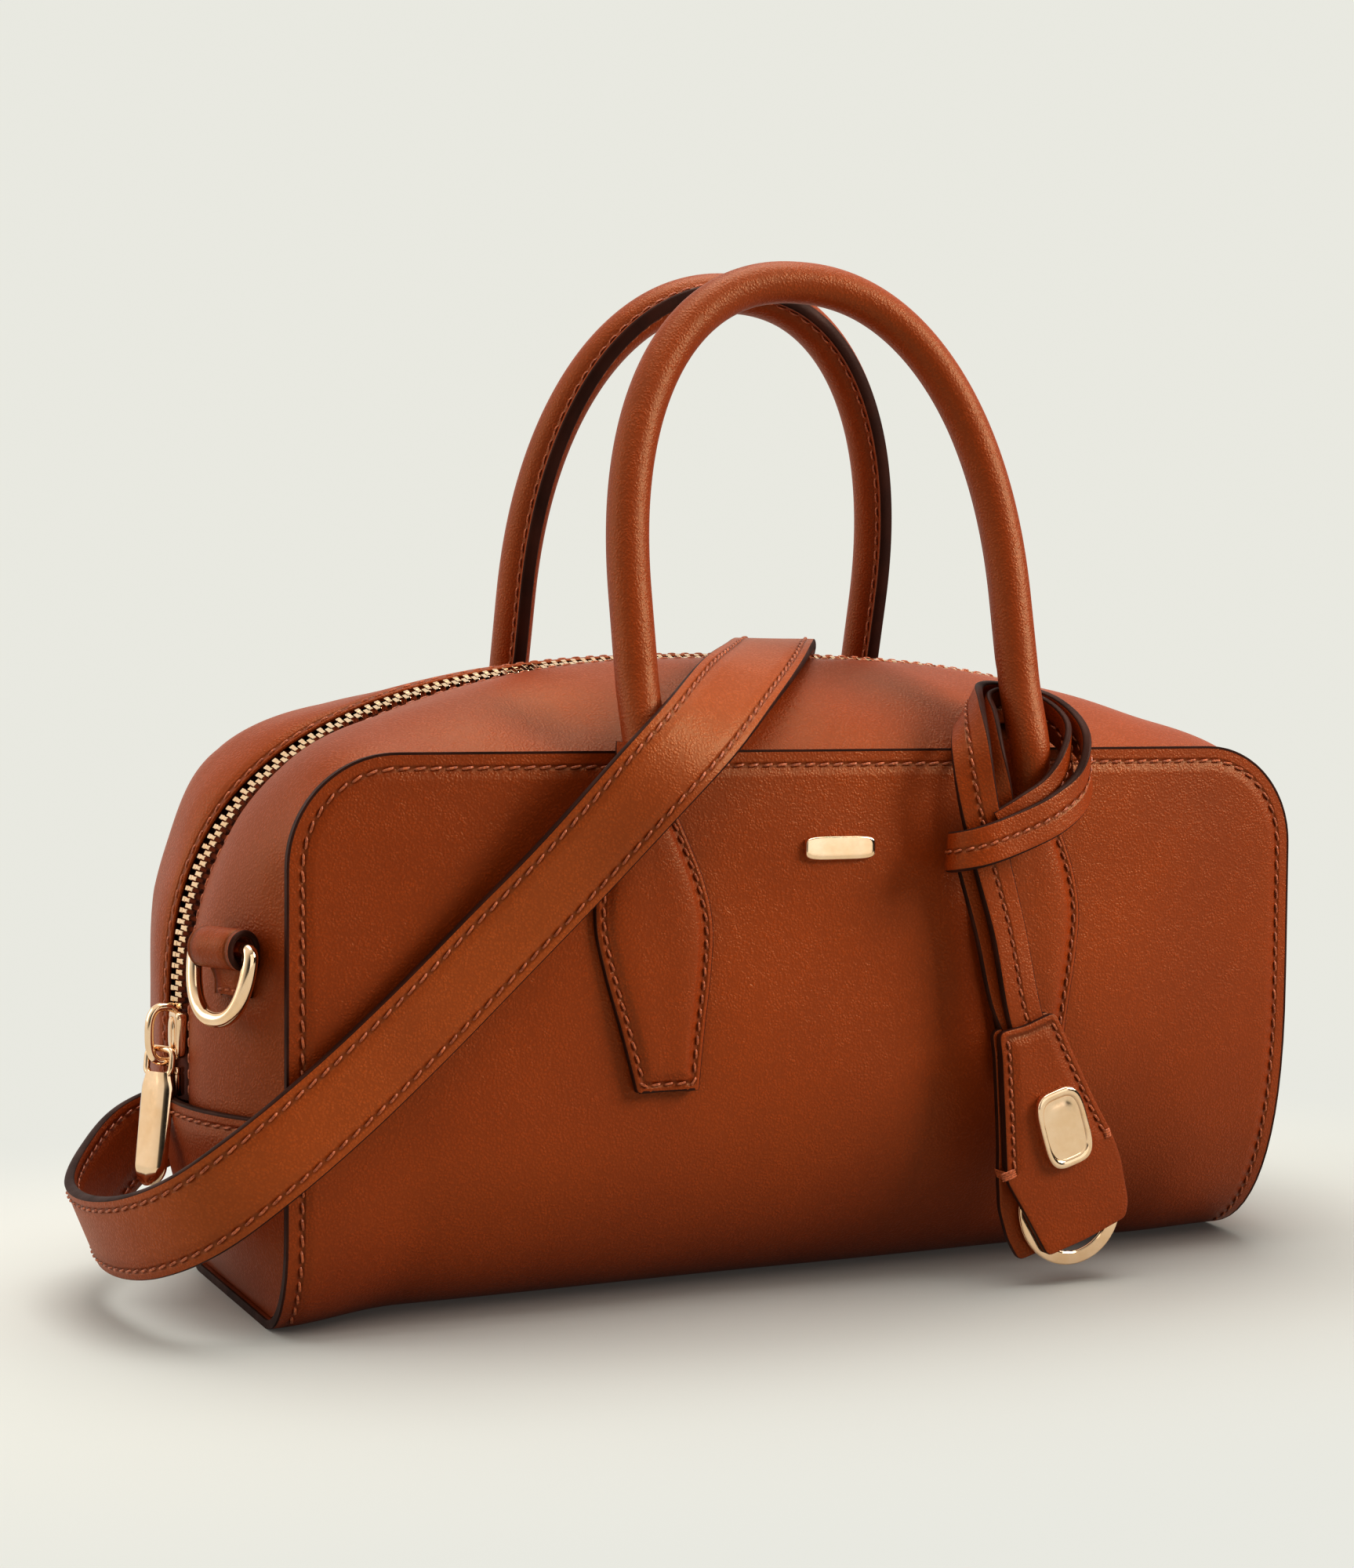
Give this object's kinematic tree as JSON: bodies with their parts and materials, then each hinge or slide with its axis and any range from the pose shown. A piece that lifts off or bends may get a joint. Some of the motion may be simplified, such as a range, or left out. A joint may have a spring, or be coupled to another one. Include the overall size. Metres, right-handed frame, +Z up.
{
  "type": "travel bag",
  "caption": "Soft leather travel bag with a zipped arched top, rolled carrying handles, a shoulder strap on end rings and a hang tag with a key ring.",
  "frame": {"origin": "middle of the base, on the surface that the bag stands on", "axes": "+X along the bag to its right end, +Y from the front to the back, +Z up"},
  "size_m": [0.3759, 0.1597, 0.2827],
  "materials": {
    "leather": "fine-grained tan leather with stitched and painted edges",
    "gold": "polished pale gold plating",
    "tape": "reddish brown woven zip tape"
  },
  "bodies": {
    "bag": {"main_panel": "leather", "top_band_front": "leather", "top_band_back": "leather", "end_panel_left": "leather", "end_panel_right": "leather", "zip_tape": "tape", "zip_chain": "gold", "zip_slider": "gold", "zip_end_stop": "gold", "front_handle": "leather", "back_handle": "leather", "ring_tab_left": "leather", "ring_tab_right": "leather", "d_ring_right": "gold", "strap_clasp_upper": "gold", "strap_clasp_lower": "gold", "shoulder_strap": "leather", "hang_tag": "leather", "tag_strap": "leather", "key_ring": "gold", "tag_ornament": "gold", "front_bar": "gold"},
    "left_ring": {"d_ring_left": "gold"},
    "pull": {"zip_pull": "gold"}
  },
  "joints": [
    {"name": "left_ring_hinge", "type": "hinge", "parent": "bag", "child": "left_ring", "pos_m": [-0.16257, -0.03726, 0.0983], "axis": [-0.4313, 0.9022, 0], "range_deg": [0, 110]},
    {"name": "zip_pull_hinge", "type": "hinge", "parent": "bag", "child": "pull", "pos_m": [-0.1696, 0, 0.0684], "axis": [-0.5736, 0.8192, 0], "range_deg": [0, 75]}
  ]
}
